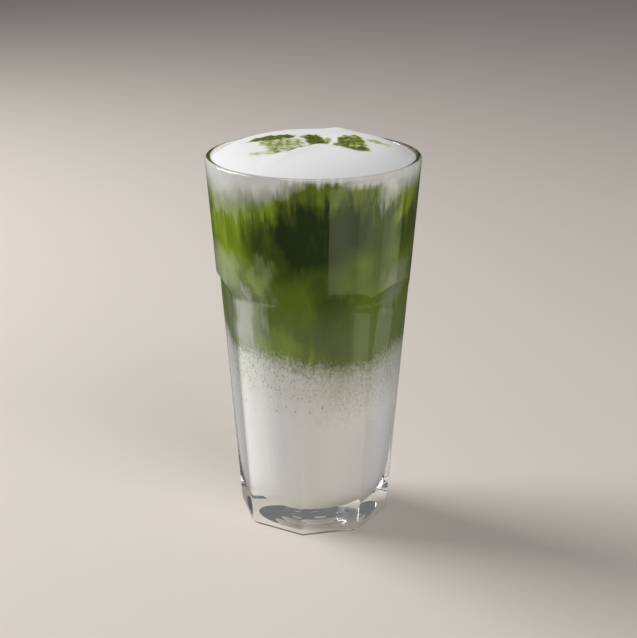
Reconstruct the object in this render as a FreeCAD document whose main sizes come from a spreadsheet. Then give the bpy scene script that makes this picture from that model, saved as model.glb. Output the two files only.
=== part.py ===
import FreeCAD, Part
import math
import os
import re
import Sketcher

# A layered cold drink in a tall pressed tumbler: milk below, green tea above it, and a domed
# milk foam that fills the mouth and stands proud of the rim. Millimetres, +Z up, the origin at the
# middle of the foot, and -Y towards the front.

SIZES = [
    # alias, value, what it sets
    ("glass_height", 140.0, "foot to rim"),
    ("rim_radius", 39.4, "outside of the wall, carried up to the rim"),
    ("foot_radius", 28.4, "outside of the foot, over its corners"),
    ("rim_wall", 2.4, "wall at the rim"),
    ("lip_flat", 0.2, "level strip between the two roundings of the rim"),
    ("panel_count", 8, "flat panels pressed round the lower wall"),
    ("panel_turn", 13.75, "heading of the first panel, degrees from +X"),
    ("panel_top", 91.0, "height at which neighbouring panels part"),
    ("scoop_radius", 9.1, "curve that carries a panel out to the round wall"),
    ("panel_wall", 2.3, "least wall behind a panel, at its top"),
    ("floor_wall", 5.5, "least wall behind a panel, at the cavity's floor"),
    ("foot_bevel", 1.2, "bevel round the foot"),
    ("base_thickness", 7.0, "solid glass under the drink"),
    ("floor_rounding", 13.0, "cavity's floor into its wall"),
    ("drink_gap", 0.1, "clearance from the drink to the wall"),
    ("layer_gap", 0.1, "clearance from one layer to the next"),
    ("milk_depth", 66.0, "cavity's floor up to the milk's top at the back and sides"),
    ("milk_dip", 6.5, "how much lower the milk's top is at the front"),
    ("foam_depth", 9.5, "rim down to the top of the green tea"),
    ("ripple_height", 0.9, "unevenness of the layers where they meet"),
    ("foam_edge_drop", 1.4, "rim down to the foam's edge"),
    ("foam_crown", 7.4, "rise of the foam from its edge to its middle"),
    ("crest_forward", 8.5, "middle of the foot forward to the tip of the foam's front fold"),
    ("crest_sweep", 0.93, "how far the fold's edge falls back to each side, as a slope"),
    ("hollow_depth", 1.5, "depth of the hollow behind the fold"),
    ("crest_softness", 2.0, "rounding of the fold's tip"),
    ("hollow_lip", 5.5, "how far the fold's edge takes to drop into the hollow"),
    ("hollow_length", 22.0, "front to back size of the hollow"),
    ("hollow_half_width", 24.0, "half of the hollow's width"),
    ("peak_height", 0.9, "small peak where the pour ended"),
    ("peak_radius", 4.5, "how far the peak spreads"),
    ("peak_right", 9.5, "middle of the foot to the peak, towards +X"),
    ("peak_back", 23.0, "middle of the foot to the peak, towards +Y"),
]

SURFACE_STEPS = 20  # spans each way in a layer's free-form face
NEAR = 0.01  # how closely an edge has to lie where it is looked for

doc = FreeCAD.newDocument("latte")
sheet = doc.addObject("Spreadsheet::Sheet", "Sizes")
for row, (alias, value, note) in enumerate(SIZES, start=1):
    sheet.set(f"A{row}", alias)
    sheet.set(f"B{row}", str(value))
    sheet.set(f"C{row}", note)
    sheet.setAlias(f"B{row}", alias)
doc.recompute()


def bound(text):
    """The expression with every alias read from the sheet."""
    for alias, _, _ in SIZES:
        text = re.sub(rf"\b{alias}\b", f"Sizes.{alias}", text)
    return text


def size(text):
    """The number that an expression of aliases comes to."""
    return float(sheet.evalExpression(bound(text)))


# Radii of the tumbler, each an expression of aliases at a height that is one too.


def wall_radius(height):
    """Outside of the round wall, which is one straight taper from foot to rim."""
    return f"(foot_radius + (rim_radius - foot_radius) * ({height}) / glass_height)"


def panel_distance(height):
    """From the axis to a flat panel whose corners lie on the round wall."""
    return f"({wall_radius(height)} * cos(180 / panel_count))"


MOUTH_RADIUS = "(rim_radius - rim_wall)"
WAIST_RADIUS = f"({panel_distance('panel_top')} - panel_wall)"
FLOOR_RADIUS = f"({panel_distance('base_thickness')} - floor_wall)"
HEAD_HEIGHT = "(glass_height + 2 * foam_crown)"  # clear of the highest foam


def origin_feature(body, role):
    return next(item for item in body.Origin.OriginFeatures if item.Role == role)


def new_sketch(body, name):
    """An empty sketch on the body's XZ plane: across is the radius and up is the height."""
    sketch = body.newObject("Sketcher::SketchObject", name)
    sketch.AttachmentSupport = [(origin_feature(body, "XZ_Plane"), "")]
    sketch.MapMode = "FlatFace"
    return sketch


def hold(sketch, kind, places, expression):
    """A dimension of the sketch that follows the sheet."""
    number = sketch.addConstraint(Sketcher.Constraint(kind, *places, size(expression)))
    sketch.setExpression(f"Constraints[{number}]", bound(expression))


def pin(sketch, point, across, up):
    """Hold a point, given as its line and which end of it, at a radius and a height."""
    hold(sketch, "DistanceX", (-1, 1, *point), across)
    hold(sketch, "DistanceY", (-1, 1, *point), up)


def swept_side(start, end, onward):
    """An arc from start to end that runs smoothly into the line from end to onward."""
    along = (onward - end).normalize()
    inward = FreeCAD.Vector(-along.y, along.x, 0)
    chord = start - end
    radius = chord.dot(chord) / (2 * inward.dot(chord))
    centre = end + inward * radius
    middle = (start + end) * 0.5
    return Part.Arc(start, centre + (middle - centre).normalize() * abs(radius), end)


def section(body, name, corners, swept):
    """A closed sketch through corners, each a pair of expressions, with straight sides.

    The side that starts at the corner numbered swept is an arc instead, tangent to the next side.
    """
    sketch = new_sketch(body, name)
    count = len(corners)
    places = [FreeCAD.Vector(size(across), size(up), 0) for across, up in corners]
    for side, start in enumerate(places):
        end = places[(side + 1) % count]
        if side == swept:
            sketch.addGeometry(swept_side(start, end, places[(side + 2) % count]), False)
        else:
            sketch.addGeometry(Part.LineSegment(start, end), False)
    first, last = 1, 2
    turned_round = sketch.getPoint(swept, first).distanceToPoint(places[swept]) > NEAR
    ends = {swept: (last, first)} if turned_round else {}
    for side, (across, up) in enumerate(corners):
        before = (side - 1) % count
        leaving = (side, ends.get(side, (first, last))[0])
        arriving = (before, ends.get(before, (first, last))[1])
        joint = "Tangent" if before == swept else "Coincident"
        sketch.addConstraint(Sketcher.Constraint(joint, *arriving, *leaving))
        pin(sketch, leaving, across, up)
    return sketch


def revolved(body, name, sketch):
    feature = body.newObject("PartDesign::Revolution", name)
    feature.Profile = sketch
    feature.ReferenceAxis = (sketch, ["V_Axis"])
    feature.Angle = 360
    doc.recompute()
    return feature


def ring_edges(shape, rings):
    """Names of the round edges at the given radii and heights, pairs of expressions."""
    names = []
    for radius, height in rings:
        for number, edge in enumerate(shape.Edges, start=1):
            if not isinstance(edge.Curve, Part.Circle):
                continue
            off_radius = abs(edge.Curve.Radius - size(radius))
            off_height = abs(edge.Curve.Center.z - size(height))
            if off_radius < NEAR and off_height < NEAR:
                names.append(f"Edge{number}")
    return names


def rounded(body, name, base, rings, radius):
    feature = body.newObject("PartDesign::Fillet", name)
    feature.Base = (base, ring_edges(base.Shape, rings))
    feature.setExpression("Radius", bound(radius))
    doc.recompute()
    return feature


# Tumbler: one body of pressed glass, round at the mouth and eight-sided below, with a heavy base.

glass = doc.addObject("PartDesign::Body", "Tumbler")
glass.Label = "glass"

wall_corners = [
    ("0", "0"),
    ("foot_radius", "0"),
    ("rim_radius", "glass_height"),
    (MOUTH_RADIUS, "glass_height"),
    (WAIST_RADIUS, "panel_top"),
    (FLOOR_RADIUS, "base_thickness"),
    ("0", "base_thickness"),
]
wall_section = section(glass, "WallSection", wall_corners, swept=3)
blank = revolved(glass, "Blank", wall_section)
lip = rounded(
    glass, "Lip", blank,
    [("rim_radius", "glass_height"), (MOUTH_RADIUS, "glass_height")],
    "(rim_wall - lip_flat) / 2",
)
cavity = rounded(glass, "CavityFloor", lip, [(FLOOR_RADIUS, "base_thickness")], "floor_rounding")


def panel_section(body):
    """What a press takes off outside one panel: the bevelled foot, the flat, and the scoop over it."""
    below = "(0 - 1)"
    beyond = "(2 * rim_radius)"
    sketch = new_sketch(body, "PanelSection")
    bevel, flat, scoop, top, outside, bottom = range(6)
    corners = [
        (f"{panel_distance('0')} - foot_bevel + {below}", below),
        (panel_distance("foot_bevel"), "foot_bevel"),
        (panel_distance("panel_top"), "panel_top"),
    ]
    foot, sill, head = [FreeCAD.Vector(size(across), size(up), 0) for across, up in corners]
    lean = math.atan2(head.x - sill.x, head.y - sill.y)
    radius = size("scoop_radius")
    centre = head + FreeCAD.Vector(radius * math.cos(lean), -radius * math.sin(lean), 0)
    crown = centre + FreeCAD.Vector(0, radius, 0)
    far_top = FreeCAD.Vector(size(beyond), crown.y, 0)
    far_bottom = FreeCAD.Vector(size(beyond), foot.y, 0)
    circle = Part.Circle(centre, FreeCAD.Vector(0, 0, 1), radius)
    sketch.addGeometry(Part.LineSegment(foot, sill), False)
    sketch.addGeometry(Part.LineSegment(sill, head), False)
    sketch.addGeometry(Part.ArcOfCircle(circle, math.pi / 2, math.pi - lean), False)
    sketch.addGeometry(Part.LineSegment(crown, far_top), False)
    sketch.addGeometry(Part.LineSegment(far_top, far_bottom), False)
    sketch.addGeometry(Part.LineSegment(far_bottom, foot), False)
    sketch.addConstraint([
        Sketcher.Constraint("Coincident", bevel, 2, flat, 1),
        Sketcher.Constraint("Tangent", flat, 2, scoop, 2),
        Sketcher.Constraint("Coincident", scoop, 1, top, 1),
        Sketcher.Constraint("Coincident", top, 2, outside, 1),
        Sketcher.Constraint("Coincident", outside, 2, bottom, 1),
        Sketcher.Constraint("Coincident", bottom, 2, bevel, 1),
        Sketcher.Constraint("Vertical", scoop, 3, scoop, 1),
        Sketcher.Constraint("Horizontal", top),
        Sketcher.Constraint("Vertical", outside),
        Sketcher.Constraint("Horizontal", bottom),
    ])
    pin(sketch, (bevel, 1), *corners[0])
    pin(sketch, (flat, 1), *corners[1])
    pin(sketch, (flat, 2), *corners[2])
    hold(sketch, "Radius", (scoop,), "scoop_radius")
    hold(sketch, "DistanceX", (-1, 1, outside, 1), beyond)
    return sketch


panel_sketch = panel_section(glass)
turned = FreeCAD.Rotation(FreeCAD.Vector(0, 1, 0), size("panel_turn"))
panel_sketch.AttachmentOffset = FreeCAD.Placement(FreeCAD.Vector(), turned)
panel_sketch.setExpression("AttachmentOffset.Rotation.Angle", bound("panel_turn"))
doc.recompute()

panel = glass.newObject("PartDesign::Pocket", "Panel")
panel.Profile = panel_sketch
panel.Type = "Length"
panel.SideType = "Symmetric"
panel.setExpression("Length", bound("4 * rim_radius"))
doc.recompute()

panels = glass.newObject("PartDesign::PolarPattern", "Panels")
panels.Originals = [panel]
panels.Axis = (origin_feature(glass, "Z_Axis"), [""])
panels.Angle = 360
panels.setExpression("Occurrences", bound("panel_count"))
glass.Tip = panels
doc.recompute()


# Drink: a core that fills the cavity with a clearance all round, shared out between the layers.

core = doc.addObject("PartDesign::Body", "DrinkCore")
core_corners = [
    ("0", HEAD_HEIGHT),
    (f"{MOUTH_RADIUS} - drink_gap", HEAD_HEIGHT),
    (f"{MOUTH_RADIUS} - drink_gap", "glass_height"),
    (f"{WAIST_RADIUS} - drink_gap", "panel_top"),
    (f"{FLOOR_RADIUS} - drink_gap", "base_thickness + drink_gap"),
    ("0", "base_thickness + drink_gap"),
]
core_section = section(core, "CoreSection", core_corners, swept=2)
core_blank = revolved(core, "CoreBlank", core_section)
core_floor = rounded(core, "CoreFloor", core_blank, core_corners[4:5], "floor_rounding")

reach = size(f"{MOUTH_RADIUS} + 1")
foam_radius = size(MOUTH_RADIUS)


def smooth_step(value):
    """0 below 0, 1 above 1, and a soft rise between."""
    share = min(max(value, 0.0), 1.0)
    return share * share * (3.0 - 2.0 * share)


def ripple(across, back, phase):
    """Gentle unevenness of a level where two layers have drifted into each other."""
    heading = math.atan2(back, across)
    share = min(math.hypot(across, back) / foam_radius, 1.0)
    broad = math.sin(3 * heading + phase)
    narrow = math.sin(5 * heading + 2 * phase)
    return size("ripple_height") * share ** 2 * (0.6 * broad + 0.4 * narrow)


def milk_top(across, back):
    """The milk stands lower where the tea was poured in, at the front."""
    facing_front = max(-back, 0.0) / max(math.hypot(across, back), 1.0)
    share = min(math.hypot(across, back) / foam_radius, 1.0)
    dip = size("milk_dip") * share * facing_front ** 2
    return size("base_thickness + milk_depth") - dip + ripple(across, back, 1.0)


def tea_top(across, back):
    return size("glass_height - foam_depth") + ripple(across, back, 2.2)


def foam_top(across, back):
    """A full dome, a fold of foam lying over its front half, and a hollow behind the fold."""
    edge = size("glass_height - foam_edge_drop")
    share = min(math.hypot(across, back) / foam_radius, 1.1)
    dome = edge + size("foam_crown") * (1 - share ** 4)
    softness = size("crest_softness")
    sideways = math.hypot(across, softness) - softness
    behind = back + size("crest_forward") + size("crest_sweep") * sideways
    within = 1 - smooth_step(abs(across) / size("hollow_half_width"))
    drop = smooth_step(behind / size("hollow_lip"))
    hollow = drop * (1 - smooth_step(behind / size("hollow_length"))) * within
    from_peak = math.hypot(across - size("peak_right"), back - size("peak_back"))
    peak = math.exp(-((from_peak / size("peak_radius")) ** 2))
    return dome - size("hollow_depth") * hollow + size("peak_height") * peak


def level_face(height_at, raised):
    """A free-form face through height_at over the whole core, raised by a clearance."""
    step = 2 * reach / SURFACE_STEPS
    marks = [-reach + step * number for number in range(SURFACE_STEPS + 1)]
    rows = []
    for across in marks:
        rows.append([FreeCAD.Vector(across, back, height_at(across, back) + raised) for back in marks])
    surface = Part.BSplineSurface()
    surface.interpolate(rows)
    return surface.toShape()


def level_block(name, face, depth):
    """Everything over or under a face, as far as depth."""
    block = doc.addObject("Part::Feature", name)
    block.Shape = face.extrude(FreeCAD.Vector(0, 0, depth))
    return block


def layer(label, top, bottom):
    """The core between the block under the layer's top and the block over its bottom."""
    parts = [core]
    if top is not None:
        parts.append(level_block(f"{label.title()}Under", level_face(top, 0.0), -span))
    if bottom is not None:
        face = level_face(bottom, size("layer_gap"))
        parts.append(level_block(f"{label.title()}Over", face, span))
    piece = doc.addObject("Part::MultiCommon", label.title())
    piece.Label = label
    piece.Shapes = parts
    return piece


span = size(f"2 * {HEAD_HEIGHT}")
milk = layer("milk", milk_top, None)
matcha = layer("matcha", tea_top, milk_top)
foam = layer("foam", foam_top, tea_top)
doc.recompute()


# Each finished piece goes out as a file named after it.

for item in doc.Objects:
    if {"Invalid", "Error"} & set(item.State):
        raise RuntimeError(f"{item.Name} failed: {item.State}")

os.makedirs("parts", exist_ok=True)
for piece in (glass, milk, matcha, foam):
    if piece.Shape.isNull() or not piece.Shape.isValid():
        raise RuntimeError(f"{piece.Label} has no valid shape")
    piece.Shape.exportStep(f"parts/{piece.Label}.step")
    print(piece.Label, len(piece.Shape.Solids), round(piece.Shape.Volume))
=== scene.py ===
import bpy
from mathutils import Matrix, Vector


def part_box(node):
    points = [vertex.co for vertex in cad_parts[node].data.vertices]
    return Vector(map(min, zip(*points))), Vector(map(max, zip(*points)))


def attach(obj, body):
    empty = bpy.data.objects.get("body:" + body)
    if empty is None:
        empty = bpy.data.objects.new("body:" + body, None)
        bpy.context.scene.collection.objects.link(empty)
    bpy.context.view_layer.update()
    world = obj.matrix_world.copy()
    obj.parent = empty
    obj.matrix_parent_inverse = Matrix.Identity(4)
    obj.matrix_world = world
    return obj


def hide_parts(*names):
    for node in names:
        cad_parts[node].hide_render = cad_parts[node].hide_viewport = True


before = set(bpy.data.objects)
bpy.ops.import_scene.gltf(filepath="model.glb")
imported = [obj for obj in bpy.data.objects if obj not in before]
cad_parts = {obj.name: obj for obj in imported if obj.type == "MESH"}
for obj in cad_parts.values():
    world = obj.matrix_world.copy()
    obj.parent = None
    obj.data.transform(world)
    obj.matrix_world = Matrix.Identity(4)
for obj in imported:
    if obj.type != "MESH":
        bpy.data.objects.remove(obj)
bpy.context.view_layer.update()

import math

import bmesh
import bpy
from mathutils import Euler, Vector, noise


# ---- The tumbler ----
# One piece of clear pressed glass: a round mouth with a fire-polished lip, eight flat panels that
# end in arches under it, a bevelled eight-sided foot and a heavy base. Made by turning the wall's
# section round the axis and pressing the panels into it.

MM = 0.001
GLASS_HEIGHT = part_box("glass")[1].z
RIM_RADIUS = 39.4 * MM
FOOT_RADIUS = 28.4 * MM
RIM_WALL = 2.4 * MM
LIP_ROUNDING = 1.1 * MM
PANELS = 8
PANEL_TURN = math.radians(13.75)
PANEL_TOP = 91.0 * MM
SCOOP_RADIUS = 9.1 * MM
PANEL_WALL = 2.3 * MM
FLOOR_WALL = 5.5 * MM
FOOT_BEVEL = 1.2 * MM
BASE_THICKNESS = 7.0 * MM
FLOOR_ROUNDING = 13.0 * MM
# The shallow dimple under the foot, with a few rings of ripples in it.
PUNT_RADIUS = 18.0 * MM
PUNT_DEPTH = 0.9 * MM
PUNT_WAVE = 0.10 * MM
PUNT_WAVES = 3.5
STANDING_RADIUS = 24.9 * MM
LIP_CLEAR = 0.3 * MM
# How many points the section has on each of its stretches.
PUNT_STEPS = 48
STANDING_STEPS = 5
FLOOR_STEPS = 6
BEND_STEPS = 16
SIDE_STEPS = 26
MOUTH_STEPS = 24
LIP_STEPS = 12


def wall_radius(height):
    """Outside of the round wall."""
    return FOOT_RADIUS + (RIM_RADIUS - FOOT_RADIUS) * height / GLASS_HEIGHT


PANEL_SHARE = math.cos(math.pi / PANELS)
MOUTH_RADIUS = RIM_RADIUS - RIM_WALL
WAIST_RADIUS = wall_radius(PANEL_TOP) * PANEL_SHARE - PANEL_WALL
FLOOR_RADIUS = wall_radius(BASE_THICKNESS) * PANEL_SHARE - FLOOR_WALL


def arc_points(centre, radius, start, end, steps):
    """Points along an arc, from the angle start to the angle end, in degrees."""
    turns = [math.radians(start + (end - start) * step / steps) for step in range(steps + 1)]
    return [(centre[0] + radius * math.cos(t), centre[1] + radius * math.sin(t)) for t in turns]


def line_points(start, end, steps):
    """Points along a line, without its end."""
    shares = [step / steps for step in range(steps)]
    return [tuple(a + (b - a) * share for a, b in zip(start, end)) for share in shares]


def cavity_wall(below=0.0):
    """The inside wall from the middle of the floor up to the mouth, moved out by below."""
    lean = math.atan2(WAIST_RADIUS - FLOOR_RADIUS, PANEL_TOP - BASE_THICKNESS)
    rounding = FLOOR_ROUNDING + below
    corner = FLOOR_RADIUS + FLOOR_ROUNDING * math.tan(lean)
    centre_radius = corner - FLOOR_ROUNDING / math.cos(lean)
    centre = (centre_radius, BASE_THICKNESS + FLOOR_ROUNDING)
    flare_turn = math.atan2(MOUTH_RADIUS - WAIST_RADIUS, GLASS_HEIGHT - PANEL_TOP) - lean
    chord = math.hypot(MOUTH_RADIUS - WAIST_RADIUS, GLASS_HEIGHT - PANEL_TOP)
    flare = chord / (2 * math.sin(flare_turn))
    flare_centre = (
        WAIST_RADIUS + below + flare * math.cos(lean),
        PANEL_TOP - flare * math.sin(lean),
    )
    lean_deg = math.degrees(lean)
    turn_deg = math.degrees(2 * flare_turn)
    floor_level = BASE_THICKNESS - below
    floor = line_points((0.0, floor_level), (centre[0], floor_level), FLOOR_STEPS)
    bend = arc_points(centre, rounding, -90.0, -lean_deg, BEND_STEPS)
    side = line_points(bend[-1], (WAIST_RADIUS + below, PANEL_TOP), SIDE_STEPS)[1:]
    flare_start = 180.0 - lean_deg
    mouth = arc_points(flare_centre, flare, flare_start, flare_start - turn_deg, MOUTH_STEPS)
    return floor + bend + side + mouth


def wall_section():
    """The whole section of the wall as (radius, height), from the foot's middle round the lip."""
    taper = math.atan2(RIM_RADIUS - FOOT_RADIUS, GLASS_HEIGHT)
    taper_deg = math.degrees(taper)
    lip_top = GLASS_HEIGHT - LIP_ROUNDING
    outer_middle = wall_radius(GLASS_HEIGHT) - LIP_ROUNDING * (1 / math.cos(taper) + math.tan(taper))
    inside = cavity_wall()
    flare_lean = math.atan2(inside[-1][0] - inside[-2][0], inside[-1][1] - inside[-2][1])
    inner_middle = MOUTH_RADIUS + LIP_ROUNDING * (1 / math.cos(flare_lean) - math.tan(flare_lean))
    foot = []
    for step in range(PUNT_STEPS):
        share = step / PUNT_STEPS
        wave = PUNT_WAVE * math.sin(2 * math.pi * PUNT_WAVES * share) * (1 - share)
        hollow = PUNT_DEPTH * (0.5 + 0.5 * math.cos(math.pi * share))
        foot.append((PUNT_RADIUS * share, hollow + wave))
    foot += line_points((PUNT_RADIUS, 0.0), (STANDING_RADIUS, 0.0), STANDING_STEPS)
    # In millimetres: close together over the bevel and over the arches.
    heights = [0.0, 0.05, 0.3, 0.6, 0.9, 1.15, 1.25, 1.4, 2.0, 4.0, 7.0]
    heights += [10.0 + 4.0 * step for step in range(20)]
    heights += [90.0 + 0.35 * step for step in range(30)]
    heights += [101.0 + 3.0 * step for step in range(12)]
    outside = [(wall_radius(height * MM), height * MM) for height in heights]
    over = arc_points((outer_middle, lip_top), LIP_ROUNDING, -taper_deg, 90.0, LIP_STEPS)
    down_end = 180.0 - math.degrees(flare_lean)
    down = arc_points((inner_middle, lip_top), LIP_ROUNDING, 90.0, down_end, LIP_STEPS)
    tail = [point for point in reversed(inside) if point[1] < lip_top - LIP_CLEAR]
    return foot + outside + over + down + tail


class Value:
    """A value in a node tree. Sums on it add the tree's Math nodes."""

    def __init__(self, tree, socket):
        self.tree = tree
        self.socket = socket

    def maths(self, operation, *others):
        return self.tree.maths(operation, self, *others)

    def __add__(self, other):
        return self.tree.maths("ADD", self, other)

    def __radd__(self, other):
        return self.tree.maths("ADD", other, self)

    def __sub__(self, other):
        return self.tree.maths("SUBTRACT", self, other)

    def __rsub__(self, other):
        return self.tree.maths("SUBTRACT", other, self)

    def __mul__(self, other):
        return self.tree.maths("MULTIPLY", self, other)

    def __rmul__(self, other):
        return self.tree.maths("MULTIPLY", other, self)

    def __truediv__(self, other):
        return self.tree.maths("DIVIDE", self, other)

    def __rtruediv__(self, other):
        return self.tree.maths("DIVIDE", other, self)

    def rise(self, start, end):
        """0 up to start, 1 from end, and a soft rise between."""
        sockets = {"Value": self, "From Min": start, "From Max": end}
        return self.tree.add("ShaderNodeMapRange", {"interpolation_type": "SMOOTHSTEP"}, sockets)[0]


class Tree:
    """A node tree being built. Each node is made by add, which gives back its outputs."""

    def __init__(self, tree):
        self.tree = tree

    def add(self, kind, settings=None, sockets=None):
        node = self.tree.nodes.new(kind)
        for name, setting in (settings or {}).items():
            if name == "stops":
                while len(node.color_ramp.elements) < len(setting):
                    node.color_ramp.elements.new(1.0)
                for element, (position, colour) in zip(node.color_ramp.elements, setting):
                    element.position = position
                    element.color = colour
            else:
                setattr(node, name, setting)
        for name, value in (sockets or {}).items():
            if isinstance(name, int):
                socket = node.inputs[name]
            else:
                socket = next(each for each in node.inputs if each.enabled and each.name == name)
            if isinstance(value, Value):
                self.tree.links.new(value.socket, socket)
            else:
                socket.default_value = value
        return [Value(self, socket) for socket in node.outputs if socket.enabled]

    def pick(self, output, kind, settings=None, sockets=None):
        """One output of a new node, by its name."""
        outputs = self.add(kind, settings, sockets)
        return next(value for value in outputs if value.socket.name == output)

    def maths(self, operation, *values):
        return self.add("ShaderNodeMath", {"operation": operation}, dict(enumerate(values)))[0]


def geometry_tree(name, inputs):
    """A Geometry Nodes tree with named inputs: the tree, and its inputs by name."""
    group = bpy.data.node_groups.new(name, "GeometryNodeTree")
    interface = group.interface
    interface.new_socket("Geometry", in_out="OUTPUT", socket_type="NodeSocketGeometry")
    interface.new_socket("Geometry", in_out="INPUT", socket_type="NodeSocketGeometry")
    for title, (kind, _) in inputs.items():
        interface.new_socket(title, in_out="INPUT", socket_type=f"NodeSocket{kind}")
    tree = Tree(group)
    outputs = tree.add("NodeGroupInput")
    named = dict(zip(["Geometry"] + list(inputs), outputs))
    return tree, named


def stored(tree, geometry, kind, name, value):
    """The geometry with a value kept on its points under a name."""
    settings = {"data_type": kind, "domain": "POINT"}
    sockets = {"Geometry": geometry, "Name": name, "Value": value}
    return tree.add("GeometryNodeStoreNamedAttribute", settings, sockets)[0]


def grown(name, mesh, tree, inputs):
    """The plain mesh that a Geometry Nodes tree makes from a starting mesh, as a new object."""
    start = bpy.data.objects.new(name + "_start", mesh)
    bpy.context.scene.collection.objects.link(start)
    modifier = start.modifiers.new("shape", "NODES")
    modifier.node_group = tree.tree
    for item in tree.tree.interface.items_tree:
        if item.in_out == "INPUT" and item.name in inputs:
            modifier[item.identifier] = inputs[item.name][1]
    depsgraph = bpy.context.evaluated_depsgraph_get()
    result = bpy.data.meshes.new_from_object(start.evaluated_get(depsgraph))
    bpy.data.objects.remove(start)
    result.name = name
    piece = bpy.data.objects.new(name, result)
    bpy.context.scene.collection.objects.link(piece)
    return piece


def chain(name, points):
    """A mesh of one open chain of edges."""
    mesh = bpy.data.meshes.new(name)
    edges = [(number, number + 1) for number in range(len(points) - 1)]
    mesh.from_pydata(points, edges, [])
    return mesh


WELD_REACH = 0.01 * MM


def pressed_tumbler(inputs):
    """The section turned round the axis, with the panels, arches and foot pressed into it."""
    tree, named = geometry_tree("pressed_tumbler", inputs)
    place = tree.add("GeometryNodeInputPosition")[0]
    start = stored(tree, named["Geometry"], "FLOAT_VECTOR", "section", place)
    section = tree.add("GeometryNodeMeshToCurve", None, {"Mesh": start})[0]
    ring = tree.add(
        "GeometryNodeCurvePrimitiveCircle", {"mode": "RADIUS"},
        {"Resolution": named["Sides"], "Radius": named["Ring radius"]},
    )[0]
    step = 2 * math.pi / named["Sides"]
    numbered = stored(tree, ring, "FLOAT", "turn", tree.add("GeometryNodeInputIndex")[0] * step)
    turned = tree.add(
        "GeometryNodeCurveToMesh", None, {"Curve": numbered, "Profile Curve": section}
    )[0]

    on_section = tree.add(
        "GeometryNodeInputNamedAttribute", {"data_type": "FLOAT_VECTOR"}, {"Name": "section"}
    )[0]
    radius, height, _ = tree.add("ShaderNodeSeparateXYZ", None, {0: on_section})
    even = tree.add("GeometryNodeInputNamedAttribute", {"data_type": "FLOAT"}, {"Name": "turn"})[0]
    pitch = 2 * math.pi / named["Panels"]
    around = (even - named["Panel turn"]) * named["Panels"]
    heading = even + around.maths("SINE") * named["Crowding"] / named["Panels"]
    from_panel = (heading - named["Panel turn"]).maths("WRAP", pitch * 0.5, pitch * -0.5)
    off_panel = from_panel.maths("ABSOLUTE")

    slope = (named["Top distance"] - named["Foot distance"]) / named["Panel top"]
    flat = named["Foot distance"] + slope * height
    bevel_start = named["Foot distance"] + slope * named["Bevel"] - named["Bevel"]
    lower = flat.maths("SMOOTH_MIN", bevel_start + height, named["Foot softness"])
    lean = slope.maths("ARCTANGENT")
    scoop = named["Scoop radius"]
    centre_radius = named["Top distance"] + scoop * lean.maths("COSINE")
    centre_height = named["Panel top"] - scoop * lean.maths("SINE")
    climb = height - centre_height
    bulge = (scoop * scoop - climb * climb).maths("MAXIMUM", 0.0).maths("SQRT")
    is_over = height.maths("GREATER_THAN", named["Panel top"])
    distance = lower + (centre_radius - bulge - lower) * is_over

    near = distance / off_panel.maths("COSINE")
    far = distance / (pitch - off_panel).maths("COSINE")
    pressed = near.maths("SMOOTH_MIN", far, named["Corner softness"])
    final = radius.maths("SMOOTH_MIN", pressed, named["Arch softness"])
    moved = tree.add("ShaderNodeCombineXYZ", None, {
        "X": final * heading.maths("COSINE"),
        "Y": final * heading.maths("SINE"),
        "Z": height,
    })[0]
    shaped = tree.add("GeometryNodeSetPosition", None, {"Geometry": turned, "Position": moved})[0]
    closed = tree.add(
        "GeometryNodeMergeByDistance", None, {"Geometry": shaped, "Distance": WELD_REACH}
    )[0]
    outward = tree.add("GeometryNodeFlipFaces", None, {"Mesh": closed})[0]
    smooth = tree.add("GeometryNodeSetShadeSmooth", None, {"Geometry": outward})[0]
    real = tree.add("GeometryNodeRealizeInstances", None, {"Geometry": smooth})[0]
    painted = tree.add(
        "GeometryNodeSetMaterial", None, {"Geometry": real, "Material": named["Finish"]}
    )[0]
    tree.add("NodeGroupOutput", None, {"Geometry": painted})
    return tree


def surface_tree(name):
    """A new material and its emptied tree."""
    material = bpy.data.materials.new(name)
    material.use_nodes = True
    material.node_tree.nodes.clear()
    return material, Tree(material.node_tree)


GLASS_TINT = (0.985, 0.993, 0.988, 1.0)
LIGHT_THROUGH = (0.93, 0.94, 0.93, 1.0)


def clear_glass():
    """Clear, very slightly green glass. Lamps shine through it on what it holds."""
    material, tree = surface_tree("pressed_glass")
    body = tree.add("ShaderNodeBsdfPrincipled", None, {
        "Base Color": GLASS_TINT,
        "Roughness": 0.0,
        "IOR": 1.5,
        "Transmission Weight": 1.0,
    })[0]
    through = tree.add("ShaderNodeBsdfTransparent", None, {"Color": LIGHT_THROUGH})[0]
    is_bounce = tree.pick("Is Diffuse Ray", "ShaderNodeLightPath")
    is_lamp = tree.pick("Is Shadow Ray", "ShaderNodeLightPath")
    for_bounces = tree.add("ShaderNodeMixShader", None, {0: is_bounce, 1: body, 2: through})[0]
    for_lamps = tree.add("ShaderNodeMixShader", None, {0: is_lamp, 1: for_bounces, 2: through})[0]
    tree.add("ShaderNodeOutputMaterial", None, {"Surface": for_lamps})
    return material


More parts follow.
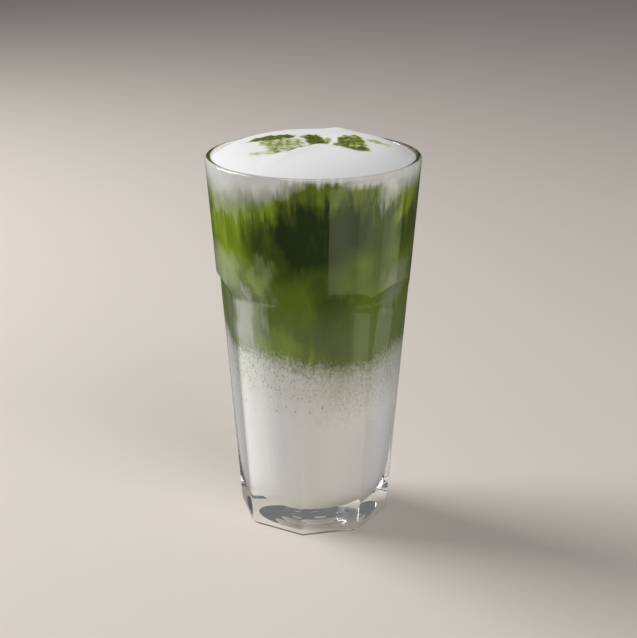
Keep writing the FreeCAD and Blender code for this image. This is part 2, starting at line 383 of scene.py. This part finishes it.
section_points = [(radius, height, 0.0) for radius, height in wall_section()]
tumbler_inputs = {
    "Sides": ("Int", 320),
    "Ring radius": ("Float", FOOT_RADIUS),
    "Panels": ("Float", float(PANELS)),
    "Panel turn": ("Float", PANEL_TURN),
    "Crowding": ("Float", 0.6),
    "Panel top": ("Float", PANEL_TOP),
    "Foot distance": ("Float", wall_radius(0.0) * PANEL_SHARE),
    "Top distance": ("Float", wall_radius(PANEL_TOP) * PANEL_SHARE),
    "Scoop radius": ("Float", SCOOP_RADIUS),
    "Bevel": ("Float", FOOT_BEVEL),
    "Foot softness": ("Float", 0.5 * MM),
    "Corner softness": ("Float", 0.9 * MM),
    "Arch softness": ("Float", 0.25 * MM),
    "Finish": ("Material", clear_glass()),
}
section_chain = chain("section", section_points)
tumbler = grown("tumbler", section_chain, pressed_tumbler(tumbler_inputs), tumbler_inputs)
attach(tumbler, "root")
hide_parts("glass")


# ---- The milk ----
# Cold milk in the lower half. It is poured in first and fills the cavity out to the wall, a hair
# into the glass, so that no air shows between them. The tea was poured in over its front.

OVERLAP = 0.1 * MM
DRINK_WALL = cavity_wall(OVERLAP)
FLAT_FLOOR_RADIUS = DRINK_WALL[FLOOR_STEPS][0]
DRINK_FLOOR = BASE_THICKNESS - OVERLAP
DRINK_COLUMNS = 288
MILK_LEVEL = 73.0 * MM
MILK_DIP = 6.5 * MM
RIPPLE_HEIGHT = 0.9 * MM
FOAM_RADIUS = 37.0 * MM
LEVEL_ROUNDS = 6


def smooth_step(value):
    """0 below 0, 1 above 1, and a soft rise between."""
    share = min(max(value, 0.0), 1.0)
    return share * share * (3.0 - 2.0 * share)


def drink_radius(height):
    """How far the drink reaches at a height: to the wall."""
    for (near, low), (far, high) in zip(DRINK_WALL, DRINK_WALL[1:]):
        if low < high and height <= high:
            share = max(height - low, 0.0) / (high - low)
            return near + (far - near) * share
    return DRINK_WALL[-1][0]


def ripple(across, back, phase):
    """Gentle unevenness of a level where two layers have drifted into each other."""
    heading = math.atan2(back, across)
    share = min(math.hypot(across, back) / FOAM_RADIUS, 1.0)
    broad = math.sin(3 * heading + phase)
    narrow = math.sin(5 * heading + 2 * phase)
    return RIPPLE_HEIGHT * share ** 2 * (0.6 * broad + 0.4 * narrow)


def milk_top(across, back):
    """The milk stands lower where the tea was poured in, at the front."""
    from_axis = math.hypot(across, back)
    facing_front = max(-back, 0.0) / max(from_axis, 1.0 * MM)
    dip = MILK_DIP * min(from_axis / FOAM_RADIUS, 1.0) * facing_front ** 2
    return MILK_LEVEL - dip + ripple(across, back, 1.0)


def flat_floor(across, back):
    """The milk's own flat underside."""
    return DRINK_FLOOR


def wall_height(top, turn):
    """Where a level meets the wall in the direction of a turn."""
    height = GLASS_HEIGHT
    for _ in range(LEVEL_ROUNDS):
        reach = drink_radius(height)
        height = top(reach * math.cos(turn), reach * math.sin(turn))
    return height


def poured(name, under, over, side_shares, rings, columns=DRINK_COLUMNS):
    """A closed mesh of the drink between two levels: the lower level, the wall, the upper level."""
    mesh = bmesh.new()
    turns = [2 * math.pi * column / columns for column in range(columns)]
    lows = [wall_height(under, turn) for turn in turns]
    highs = [wall_height(over, turn) for turn in turns]
    inner_shares = [1 - ring / rings for ring in range(1, rings)]
    rows = []
    # From the middle of the lower level out, up the wall, and back in over the upper level.
    for level, shares in (
        (under, reversed(inner_shares)), (None, side_shares), (over, inner_shares),
    ):
        for share in shares:
            row = []
            for turn, low, high in zip(turns, lows, highs):
                if level is None:
                    height = low + (high - low) * share
                    reach = drink_radius(height)
                    # The flat floor ends where its rounding starts.
                    if under is flat_floor and share == 0:
                        reach = FLAT_FLOOR_RADIUS
                else:
                    edge = low if level is under else high
                    reach = drink_radius(edge) * share
                    if level is flat_floor:
                        reach = FLAT_FLOOR_RADIUS * share
                    height = level(reach * math.cos(turn), reach * math.sin(turn))
                row.append(mesh.verts.new((reach * math.cos(turn), reach * math.sin(turn), height)))
            rows.append(row)
    for first, second in zip(rows, rows[1:]):
        for column in range(columns):
            after = (column + 1) % columns
            mesh.faces.new((first[column], first[after], second[after], second[column]))
    for row, level, order in ((rows[0], under, -1), (rows[-1], over, 1)):
        middle = mesh.verts.new((0.0, 0.0, level(0.0, 0.0)))
        for column in range(columns):
            pair = (row[column], row[(column + 1) % columns])[::order]
            mesh.faces.new((*pair, middle))
    for face in mesh.faces:
        face.smooth = True
    # The levels meet the wall at a sharp edge, apart from the flat floor, which curves into it.
    corners = [rows[rings - 1], rows[rings + len(side_shares) - 2]]
    for row in corners[1:] if under is flat_floor else corners:
        for column in range(columns):
            mesh.edges.get((row[column], row[(column + 1) % columns])).smooth = False
    data = bpy.data.meshes.new(name)
    mesh.to_mesh(data)
    mesh.free()
    piece = bpy.data.objects.new(name, data)
    bpy.context.scene.collection.objects.link(piece)
    return piece


# The milk is a little darker and warmer at the front and just to its right: elsewhere it is painted paler
# and cooler, as painted light.
MILK_COLOUR = (0.85, 0.82, 0.785, 1.0)
MILK_PAINTED_LIT = (0.955, 0.955, 0.96, 1.0)
TEA_TONES = [
    (0.0, (0.020, 0.039, 0.007, 1.0)),
    (0.33, (0.061, 0.093, 0.008, 1.0)),
    (0.66, (0.135, 0.188, 0.010, 1.0)),
    (1.0, (0.283, 0.415, 0.018, 1.0)),
]
# Light and dark tea on the wall, and one painted shade: heading and height of the middle, half width in
# degrees, half height in millimetres, and how much brighter it is. Heading 0 is the front, and right is
# positive.
TEA_AND_SHADE_PATCHES = [
    (2, 119, 34, 16, -0.66),
    (-24, 111, 24, 15, -0.36),
    (12, 84, 24, 24, -0.24),
    # Painted shade along the arch at the front right.
    (16, 93, 20, 6, -0.10),
    (3, 105, 24, 10, -0.20),
    (-56, 117, 32, 24, 0.24),
    (-24, 128, 9, 7, 0.30),
    (-46, 124, 9, 6, 0.08),
    (-32, 103, 13, 7, 0.30),
    (66, 127, 12, 7, 0.22),
    (40, 104, 24, 8, -0.17),
    (16, 127, 18, 7, -0.16),
    (38, 120, 30, 14, -0.44),
    (70, 116, 16, 9, -0.20),
    (112, 112, 30, 18, -0.45),
    (150, 122, 26, 12, 0.36),
    (-165, 108, 34, 20, -0.42),
    (-120, 120, 26, 16, -0.30),
    (-100, 100, 24, 14, 0.30),
    (165, 86, 36, 16, -0.18),
    (-32, 123, 16, 5, -0.18),
    (-34, 101, 15, 11, 0.12),
    (-66, 102, 20, 10, 0.22),
    (-22, 76, 20, 9, 0.20),
]
# Milk and foam in the tea, and one painted highlight, in the same way, with how much more milk there is.
MILK_AND_HIGHLIGHT_PATCHES = [
    (6, 133, 36, 8, -0.85),
    (-60, 129, 26, 7, 0.28),
    (-17, 133, 12, 6, 0.16),
    # A painted highlight on the scoop of the arch at the left, in milk's colour.
    (-47, 95, 8, 4, 0.25),
    (-34, 99, 14, 12, 0.12),
    (-74, 101, 36, 11, 0.24),
    (-66, 84, 30, 16, 0.12),
    (-51, 82, 15, 20, 0.24),
    (43, 132, 15, 6, 0.36),
    (18, 127, 20, 6, -0.25),
    (64, 96, 24, 12, 0.14),
    (128, 98, 30, 14, 0.25),
    (-150, 132, 24, 6, -0.40),
]


# The tone of plain tea, from 0 to 1 along TEA_TONES.
TEA_TONE = 0.62
# Heights in millimetres: where milk turns to tea, how much higher that is away from the front and
# on the left, and how far above and below it they mix; how far down the milk is hazy; where foam
# shows in the tea, and where it is pale against the lip.
MILK_EDGE = 66.0
MILK_EDGE_SIDES = 3.0
MILK_EDGE_LEFT = 2.6
MILK_EDGE_SOFTNESS = 5.5
HAZE_DEPTH = 26.0
FOAM_FRINGE = (126.8, 137.6)
LIP_BAND = (134.6, 137.4)
# How wide and how long the lumps are that break up the tea.
TUFTS = (1.3 * MM, 9.0 * MM)
STRANDS = (3.6 * MM, 22.0 * MM)
DRIFTS = (12.0 * MM, 14.0 * MM)
GRAINS = (1.0 * MM, 1.3 * MM)


def lumps(tree, place, width, length, detail=2.0):
    """Noise from about -0.3 to 0.3, in lumps of a width across and a length upwards."""
    stretch = (1 / width, 1 / width, 1 / length)
    stretched = tree.add("ShaderNodeVectorMath", {"operation": "MULTIPLY"}, {0: place, 1: stretch})[0]
    sockets = {"Vector": stretched, "Scale": 1.0, "Detail": detail}
    return tree.add("ShaderNodeTexNoise", None, sockets)[0] - 0.5


def patch_sum(heading, height, patches):
    """The patches added up at a heading in degrees and a height in millimetres."""
    total = 0.0
    for at_heading, at_height, half_turn, half_height, strength in patches:
        sideways = (heading - at_heading) / half_turn
        upwards = (height - at_height) / half_height
        total = (sideways * sideways + upwards * upwards).rise(1.0, 0.0) * strength + total
    return total


def drink_colour(tree):
    """Milk, tea and the foam's edge as they show through the wall, with painted light on the milk's sides
    and a painted shade and highlight among the patches.
    """
    place = tree.pick("Object", "ShaderNodeTexCoord")
    x, y, z = tree.add("ShaderNodeSeparateXYZ", None, {0: place})
    heading = x.maths("ARCTAN2", y * -1.0) * math.degrees(1.0)
    height = z / MM
    tufts = lumps(tree, place, *TUFTS, detail=3.0)
    strands = lumps(tree, place, *STRANDS, detail=3.0)
    drifts = lumps(tree, place, *DRIFTS, detail=3.0)
    grains = lumps(tree, place, *GRAINS, detail=3.0)
    # The patches are looked up at a bent place, so that none has a clean outline.
    bent_heading = heading + drifts * 34.0 + (height - 120.0) * strands * 0.5
    bent_height = height + tufts * 9.0 + strands * 12.0 + drifts * 8.0

    upper = height.rise(96.0, 112.0)
    streaks = (tufts * 0.36 + strands * 0.70) * (upper * 0.7 + 0.3)
    brightness = patch_sum(bent_heading, bent_height, TEA_AND_SHADE_PATCHES) + streaks + TEA_TONE

    from_front = (heading - 16.0).maths("ABSOLUTE")
    sides_up = from_front.rise(4.0, 66.0) * MILK_EDGE_SIDES
    left_up = heading.rise(8.0, -24.0) * MILK_EDGE_LEFT
    milk_edge = sides_up + left_up + MILK_EDGE
    above_edge = height - milk_edge + grains * 10.0 + tufts * 5.0 + drifts * 7.0
    milk_below = above_edge.rise(MILK_EDGE_SOFTNESS, -MILK_EDGE_SOFTNESS)
    haze_share = heading.rise(-5.0, 20.0) * 0.22 + 0.20
    haze = (above_edge + grains * 14.0).rise(-HAZE_DEPTH, -1.0) * haze_share
    foam_height = height + tufts * 3.2 + strands * 4.5 - heading.rise(-22.0, 15.0) * 2.4
    foam_above = foam_height.rise(*FOAM_FRINGE) * 0.92
    off_centre = (heading - 2.0).maths("ABSOLUTE").rise(8.0, 24.0)
    lip_band = (height + tufts * 3.0).rise(*LIP_BAND) * off_centre * 0.8
    lower_milk = height.rise(97.0, 76.0) * 0.06
    patches = patch_sum(bent_heading, bent_height, MILK_AND_HIGHLIGHT_PATCHES)
    milk_in_tea = (foam_above + lower_milk + patches).maths("MAXIMUM", lip_band)
    clear_of_haze = milk_below * (1.0 - haze)
    milk_share = milk_in_tea.maths("MAXIMUM", clear_of_haze).maths("MINIMUM", 1.0)
    tea = tree.add("ShaderNodeValToRGB", {"stops": TEA_TONES}, {0: brightness})[0]
    # Painted light: the milk turns paler to the left of the front, and from the right side round the
    # back.
    painted_lit_share = heading.rise(2.0, -24.0) + heading.rise(38.0, 70.0)
    milk = tree.pick(
        "Result", "ShaderNodeMix", {"data_type": "RGBA"},
        {"Factor": painted_lit_share, "A": MILK_COLOUR, "B": MILK_PAINTED_LIT},
    )
    return tree.pick(
        "Result", "ShaderNodeMix", {"data_type": "RGBA"},
        {"Factor": milk_share.maths("MAXIMUM", 0.0), "A": tea, "B": milk},
    )


def drink_finish(name):
    """Opaque, matt liquid against the glass."""
    material, tree = surface_tree(name)
    body = tree.add("ShaderNodeBsdfPrincipled", None, {
        "Base Color": drink_colour(tree),
        "Roughness": 0.45,
        "Specular IOR Level": 0.1,
    })[0]
    tree.add("ShaderNodeOutputMaterial", None, {"Surface": body})
    return material


# How far up the wall each row of points is. The milk's rows are close where its floor is rounded.
even_shares = [step / 40 for step in range(41)]
floor_shares = [0.0, 0.0005, 0.002, 0.0045, 0.008, 0.0125, 0.018]
floor_shares += [0.025, 0.034, 0.045, 0.058, 0.075, 0.095, 0.12]
floor_shares += [0.15 + 0.85 * step / 30 for step in range(31)]
milk_body = poured("milk_body", flat_floor, milk_top, floor_shares, rings=24)
milk_body.data.materials.append(drink_finish("milk"))
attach(milk_body, "root")
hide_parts("milk")


# ---- The grains of tea in the milk ----
# Grains of powdered tea that have sunk into the milk and lie against the wall under the tea, thick
# near its edge and at the front, and thinning downwards.


def sunk_grains(inputs):
    """Flat grains scattered on the milk, more of them higher up and at the front."""
    tree, named = geometry_tree("sunk_grains", inputs)
    place = tree.add("GeometryNodeInputPosition")[0]
    _, y, z = tree.add("ShaderNodeSeparateXYZ", None, {0: place})
    rising = z.rise(named["Lowest"], named["Highest"])
    under_edge = z.maths("LESS_THAN", named["Highest"])
    at_front = (y / named["Wall radius"]).rise(0.6, -0.8)
    # A quarter as many grains lie at the back as at the front.
    density = rising * rising * under_edge * (at_front * 0.75 + 0.25) * named["Density"]
    spots = tree.add(
        "GeometryNodeDistributePointsOnFaces", {"distribute_method": "RANDOM"},
        {"Mesh": named["Geometry"], "Density": density, "Seed": named["Seed"]},
    )
    points, _, turned = spots[:3]
    grain = tree.add("GeometryNodeMeshIcoSphere", None, {"Radius": 1.0, "Subdivisions": 1})[0]
    width = tree.add(
        "FunctionNodeRandomValue", {"data_type": "FLOAT_VECTOR"},
        {"Min": named["Smallest"], "Max": named["Largest"], "Seed": named["Seed"]},
    )[0]
    placed = tree.add("GeometryNodeInstanceOnPoints", None, {
        "Points": points, "Instance": grain, "Rotation": turned, "Scale": width,
    })[0]
    real = tree.add("GeometryNodeRealizeInstances", None, {"Geometry": placed})[0]
    painted = tree.add(
        "GeometryNodeSetMaterial", None, {"Geometry": real, "Material": named["Finish"]}
    )[0]
    tree.add("NodeGroupOutput", None, {"Geometry": painted})
    return tree


def grain_finish(name, dark, light):
    """Powdered tea: matt, from one green to another."""
    material, tree = surface_tree(name)
    place = tree.pick("Object", "ShaderNodeTexCoord")
    share = lumps(tree, place, 2.0 * MM, 2.0 * MM) * 2.0 + 0.5
    colour = tree.pick(
        "Result", "ShaderNodeMix", {"data_type": "RGBA"}, {"Factor": share, "A": dark, "B": light}
    )
    body = tree.add("ShaderNodeBsdfPrincipled", None, {
        "Base Color": colour, "Roughness": 0.8, "Specular IOR Level": 0.2,
    })[0]
    tree.add("ShaderNodeOutputMaterial", None, {"Surface": body})
    return material


# The least and the most of a grain's half length along the wall, each way, and half thickness.
SMALLEST_GRAIN = (0.00009, 0.0001, 0.00004)
LARGEST_GRAIN = (0.00030, 0.00052, 0.00008)
SUNK_DARK = (0.24, 0.27, 0.12, 1.0)
SUNK_LIGHT = (0.52, 0.52, 0.39, 1.0)
grain_inputs = {
    "Density": ("Float", 640000.0),
    "Lowest": ("Float", 42.0 * MM),
    "Highest": ("Float", 69.0 * MM),
    "Wall radius": ("Float", WAIST_RADIUS),
    "Smallest": ("Vector", SMALLEST_GRAIN),
    "Largest": ("Vector", LARGEST_GRAIN),
    "Seed": ("Int", 7),
    "Finish": ("Material", grain_finish("sunk_tea", SUNK_DARK, SUNK_LIGHT)),
}
tea_specks = grown("tea_specks", milk_body.data.copy(), sunk_grains(grain_inputs), grain_inputs)
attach(tea_specks, "root")


# ---- The tea ----
# Matcha poured over the milk. It is dark where it is pure, bright where it thins against the wall,
# and pale where milk has come up into it. It reaches from the milk to the foam.

TEA_LEVEL = 130.5 * MM


def tea_top(across, back):
    """The level where the tea meets the foam."""
    return TEA_LEVEL + ripple(across, back, 2.2)


tea_body = poured("tea_body", milk_top, tea_top, even_shares, rings=24)
tea_body.data.materials.append(drink_finish("matcha"))
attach(tea_body, "root")
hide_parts("matcha")


# ---- The foam ----
# Fine milk foam, domed over the mouth. The last spoonful lies in a fold over the front half, and
# tea has stained the hollow behind the fold.

FOAM_EDGE = 138.6 * MM
FOAM_CROWN = 6.9 * MM
CREST_ASIDE = 2.6 * MM
CREST_FORWARD = 8.5 * MM
CREST_SWEEP_LEFT = 0.93
CREST_SWEEP_RIGHT = 0.70
CREST_SOFTNESS = 2.0 * MM
CREST_ROLL = 0.5 * MM
HOLLOW_LIP = 5.5 * MM
HOLLOW_DEPTH = 1.45 * MM
HOLLOW_LENGTH = 22.0 * MM
HOLLOW_HALF_WIDTH = 24.0 * MM
PEAK_HEIGHT = 0.9 * MM
PEAK_RADIUS = 4.5 * MM
PEAK = (9.5 * MM, 23.0 * MM)
CRUMB_HEIGHT = 0.45 * MM
CRUMB_WIDTH = 2.1 * MM
FOLD_BACK = 2.6 * MM
FOLD_WIDTH = 3.2 * MM
STAIN_REACH = 33.0 * MM
# In millimetres: how far a stain's outline wanders, how far outside it the stain starts, and how
# far it takes from there to be full.
STAIN_DRIFT = 1.6
STAIN_EDGE_OUT = 1.3
STAIN_EDGE_WIDTH = 2.9
# Where tea has stained the foam: how strongly, how broken up, and the outline in millimetres.
STAINS = [
    (1.0, 0.35, [(-24, 0), (-21, 4.5), (-15, 7.5), (-9, 8.5), (-6, 6), (-8, 2.5), (-12, 0), (-18, -1)]),
    (0.42, 1.0, [(-21, -1), (-9, 2), (-4.5, 2), (-4, -11), (-9, -15), (-13, -18), (-17, -13), (-18, -7)]),
    (0.30, 0.3, [(-23, -15), (-19, -13.5), (-13, -17), (-8, -19), (-12, -19), (-19, -17.5)]),
    (0.95, 0.4, [(-4, 5), (-2, 8), (2, 7.5), (5, 3), (5, -2), (3.5, -7.5), (0, -6), (-3, 0)]),
    (0.8, 0.5, [(-10, -15.5), (-4, -10), (0, -8.5), (-1.5, -12), (-8.5, -17)]),
    (0.70, 0.9, [(7, -7), (9, 2), (11, 6), (14, 7), (17, 3),
                 (19.5, -3), (19.5, -14), (15, -15), (10, -11)]),
    (1.0, 0.4, [(15, -7), (18.5, -7), (19.5, -14), (16.5, -15), (13.5, -11)]),
    (0.30, 0.3, [(19, 3), (22, 3.5), (27, 0), (27, -4), (22, -3), (19, -1)]),
]


def from_outline(outline, across, back):
    """Distance to an outline in millimetres: positive inside it."""
    nearest = 1000.0
    inside = False
    for (x0, y0), (x1, y1) in zip(outline, outline[1:] + outline[:1]):
        run_x, run_y = x1 - x0, y1 - y0
        share = ((across - x0) * run_x + (back - y0) * run_y) / (run_x * run_x + run_y * run_y)
        share = min(max(share, 0.0), 1.0)
        nearest = min(nearest, math.hypot(across - x0 - share * run_x, back - y0 - share * run_y))
        if (y0 > back) != (y1 > back) and across < x0 + (back - y0) / run_y * run_x:
            inside = not inside
    return nearest if inside else -nearest


def crumbliness(across, back):
    """Noise of the broken foam, in lumps of about 2 mm, from about -1 to 1."""
    spot = Vector((across / CRUMB_WIDTH, back / CRUMB_WIDTH, 4.7))
    return noise.noise(spot) + 0.5 * noise.noise(spot * 2.3)


def stain_at(across, back):
    """How much tea is on the foam: 0 for none, 1 for the darkest."""
    if math.hypot(across, back) > STAIN_REACH:
        return 0.0
    drift = Vector((across / (3.0 * MM), back / (3.0 * MM), 1.3))
    x = across / MM + STAIN_DRIFT * noise.noise(drift)
    y = back / MM + STAIN_DRIFT * noise.noise(drift + Vector((9.1, 3.7, 0.0)))
    broken = crumbliness(across, back)
    most = 0.0
    for strength, breakup, outline in STAINS:
        depth = from_outline(outline, x, y) + 0.5 * broken
        cover = smooth_step((depth + STAIN_EDGE_OUT) / STAIN_EDGE_WIDTH)
        most = max(most, cover * strength * (1.0 + 0.9 * breakup * broken))
    return min(most, 1.0)


def foam_top(across, back):
    """A full dome, a fold of foam lying over its front half, and a crumbled hollow behind it."""
    share = min(math.hypot(across, back) / FOAM_RADIUS, 1.1)
    dome = FOAM_EDGE + FOAM_CROWN * (1 - share ** 4)
    aside = across - CREST_ASIDE
    sideways = math.hypot(aside, CREST_SOFTNESS) - CREST_SOFTNESS
    sweep = CREST_SWEEP_LEFT if aside < 0 else CREST_SWEEP_RIGHT
    behind = back + CREST_FORWARD + sweep * sideways
    within = 1 - smooth_step(abs(across) / HOLLOW_HALF_WIDTH)
    drop = smooth_step(behind / HOLLOW_LIP)
    hollow = drop * (1 - smooth_step(behind / HOLLOW_LENGTH)) * within
    roll = math.exp(-(((behind + FOLD_BACK) / FOLD_WIDTH) ** 2)) * within
    from_peak = math.hypot(across - PEAK[0], back - PEAK[1])
    peak = math.exp(-((from_peak / PEAK_RADIUS) ** 2))
    crumbs = CRUMB_HEIGHT * crumbliness(across, back) * min(2.0 * stain_at(across, back), 1.0)
    lifted = CREST_ROLL * roll + PEAK_HEIGHT * peak + crumbs
    return dome - HOLLOW_DEPTH * hollow + lifted


STAIN_TONES = [
    (0.0, (0.90, 0.895, 0.895, 1.0)),
    (0.12, (0.80, 0.82, 0.72, 1.0)),
    (0.34, (0.50, 0.55, 0.26, 1.0)),
    (0.62, (0.22, 0.27, 0.045, 1.0)),
    (1.0, (0.085, 0.11, 0.012, 1.0)),
]


FOAM_SPECK = 0.55 * MM
FOAM_SMEAR = 3.0 * MM
FOAM_PORE = 0.3 * MM
PORE_DEPTH = 0.1 * MM
# The heights in millimetres between which the drink's side turns into the foam's top.
RIM_HEIGHTS = (138.2, 139.0)


def foam_finish():
    """White foam above, stained by its attribute, and the drink's own colours against the wall."""
    material, tree = surface_tree("foam")
    place = tree.pick("Object", "ShaderNodeTexCoord")
    _, _, z = tree.add("ShaderNodeSeparateXYZ", None, {0: place})
    stain = tree.pick("Fac", "ShaderNodeAttribute", {"attribute_name": "stain"})
    specks = lumps(tree, place, FOAM_SPECK, FOAM_SPECK, detail=3.0)
    smears = lumps(tree, place, FOAM_SMEAR, FOAM_SMEAR)
    tone = stain + (specks * 0.9 + smears * 0.35) * stain.rise(0.0, 0.3)
    top = tree.add("ShaderNodeValToRGB", {"stops": STAIN_TONES}, {0: tone})[0]
    on_top = (z / MM).rise(*RIM_HEIGHTS)
    colour = tree.pick(
        "Result", "ShaderNodeMix", {"data_type": "RGBA"},
        {"Factor": on_top, "A": drink_colour(tree), "B": top},
    )
    pores = lumps(tree, place, FOAM_PORE, FOAM_PORE)
    bump = tree.add("ShaderNodeBump", None, {
        "Strength": 0.25, "Distance": PORE_DEPTH, "Height": pores + specks * stain * 4.0,
    })[0]
    body = tree.add("ShaderNodeBsdfPrincipled", None, {
        "Base Color": colour,
        "Roughness": 0.62,
        "Specular IOR Level": 0.3,
        "Normal": bump,
    })[0]
    tree.add("ShaderNodeOutputMaterial", None, {"Surface": body})
    return material


foam_head = poured("foam_head", tea_top, foam_top, even_shares[::4], rings=90)
stains = foam_head.data.attributes.new("stain", "FLOAT", "POINT")
for vertex, value in zip(foam_head.data.vertices, stains.data):
    if vertex.co.z > FOAM_EDGE + 0.5 * MM:
        value.value = stain_at(vertex.co.x, vertex.co.y)
foam_head.data.materials.append(foam_finish())
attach(foam_head, "root")
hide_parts("foam")


# ---- The floor, light and camera ----
# A plain pale floor that runs out of view, soft light from a window on the left and a little
# behind, a weaker fill from the right of the front, and the grey of a quiet room all round.
# Narrow glints show only as reflections in the glass.

# The floor is a hair inside the foot, so that no film of air mirrors the drink under the glass.
FLOOR_RISE = 0.02 * MM
GROUND_RADIUS = 4.0
FLOOR_COLOUR = (0.76, 0.70, 0.63, 1.0)
floor_mesh = bmesh.new()
bmesh.ops.create_circle(floor_mesh, cap_ends=True, cap_tris=False, segments=96, radius=GROUND_RADIUS)
bmesh.ops.translate(floor_mesh, verts=floor_mesh.verts, vec=(0.0, 0.0, FLOOR_RISE))
floor_data = bpy.data.meshes.new("floor")
floor_mesh.to_mesh(floor_data)
floor_mesh.free()
floor = bpy.data.objects.new("floor", floor_data)
bpy.context.scene.collection.objects.link(floor)
floor_material, floor_tree = surface_tree("floor")
floor_body = floor_tree.add("ShaderNodeBsdfPrincipled", None, {
    "Base Color": FLOOR_COLOUR, "Roughness": 0.6, "Specular IOR Level": 0.2,
})[0]
floor_tree.add("ShaderNodeOutputMaterial", None, {"Surface": floor_body})
floor_data.materials.append(floor_material)
floor.visible_glossy = False

ROOM_COLOUR = (0.16, 0.16, 0.165, 1.0)
# How much dimmer the room is in reflections. A ray that goes on through the glass counts as
# glossy too, so it gets the same amount back.
MIRROR_DIMMING = 0.75
world = bpy.data.worlds.new("room")
world.use_nodes = True
world.node_tree.nodes.clear()
room = Tree(world.node_tree)
in_mirror = room.pick("Is Glossy Ray", "ShaderNodeLightPath")
in_glass = room.pick("Is Transmission Ray", "ShaderNodeLightPath")
room_strength = in_glass * MIRROR_DIMMING + 1.0 - in_mirror * MIRROR_DIMMING
room_light = room.add("ShaderNodeBackground", None, {
    "Color": ROOM_COLOUR, "Strength": room_strength,
})[0]
room.add("ShaderNodeOutputWorld", None, {"Surface": room_light})
bpy.context.scene.world = world


def panel_light(name, place, aim, width, height, power, colour=(1.0, 1.0, 1.0)):
    """A rectangular soft light at a place, facing a point."""
    data = bpy.data.lights.new(name, "AREA")
    data.shape = "RECTANGLE"
    data.size = width
    data.size_y = height
    data.energy = power
    data.color = colour
    light = bpy.data.objects.new(name, data)
    light.location = place
    light.rotation_euler = (Vector(aim) - Vector(place)).to_track_quat("-Z", "Y").to_euler()
    bpy.context.scene.collection.objects.link(light)
    return light


GLINT_SPREAD = math.radians(84.0)


def glint(name, headings, levels, reach, power, colour=(1.0, 1.0, 1.0)):
    """A bright upright pane that shows only as a reflection in the glass, between two headings."""
    corners = [
        Vector((reach * math.sin(math.radians(turn)), -reach * math.cos(math.radians(turn)), level))
        for turn, level in zip(headings, levels)
    ]
    middle = (corners[0] + corners[1]) / 2
    width = math.hypot(corners[1].x - corners[0].x, corners[1].y - corners[0].y)
    height = levels[1] - levels[0]
    light = panel_light(name, middle, (0.0, 0.0, middle.z), width, height, power, colour)
    light.data.spread = GLINT_SPREAD
    light.visible_camera = False
    light.visible_diffuse = False
    light.visible_transmission = False


WINDOW_PLACE = (-0.80, 0.35, 0.75)
WINDOW_POWER = 11.2
FILL_PLACE = (0.60, -0.80, 0.65)
FILL_POWER = 5.7
LEFT_GLINT_COLOUR = (0.96, 1.0, 0.9)
RIGHT_GLINT_COLOUR = (0.97, 1.0, 0.66)
panel_light("window", WINDOW_PLACE, (0.0, 0.0, 0.08), 0.6, 0.6, WINDOW_POWER)
fill = panel_light("room_fill", FILL_PLACE, (0.0, 0.0, 0.06), 0.8, 0.8, FILL_POWER)
fill.visible_glossy = False
# Each glint has two headings in degrees, two levels, how far out it stands, and its power.
for step in range(4):
    span = (-58.4 + 1.1 * step, -66.0)
    power = 0.0012 + 0.0002 * step
    glint(f"left_glint_{step}", span, (-0.034, 0.062), 0.10, power, LEFT_GLINT_COLOUR)
for start in (15.3, 45.0, 74.7):
    span = (start, start + 29.7)
    glint(f"right_glint_{start:.0f}", span, (0.040, 0.095), 0.15, 0.0052, RIGHT_GLINT_COLOUR)
glint("front_panel_glint", (28.6, 40.0), (0.000, 0.056), 0.10, 0.0010)
glint("side_panel_glint", (103.4, 107.0), (0.000, 0.053), 0.10, 0.00016)

# The camera looks down by an angle in radians, through a lens in millimetres.
CAMERA_PLACE = (0.001848, -0.530706, 0.260136)
CAMERA_DOWN = 0.33258
CAMERA_LENS = 84.277
camera_data = bpy.data.cameras.new("camera")
camera_data.sensor_width = 36.0
camera_data.lens = CAMERA_LENS
camera_data.clip_start = 0.01
camera_data.clip_end = 20.0
camera = bpy.data.objects.new("camera", camera_data)
camera.location = CAMERA_PLACE
camera.rotation_euler = Euler((math.pi / 2 - CAMERA_DOWN, 0.0, 0.0))
bpy.context.scene.collection.objects.link(camera)
bpy.context.scene.camera = camera
bpy.context.scene.view_settings.view_transform = "Standard"
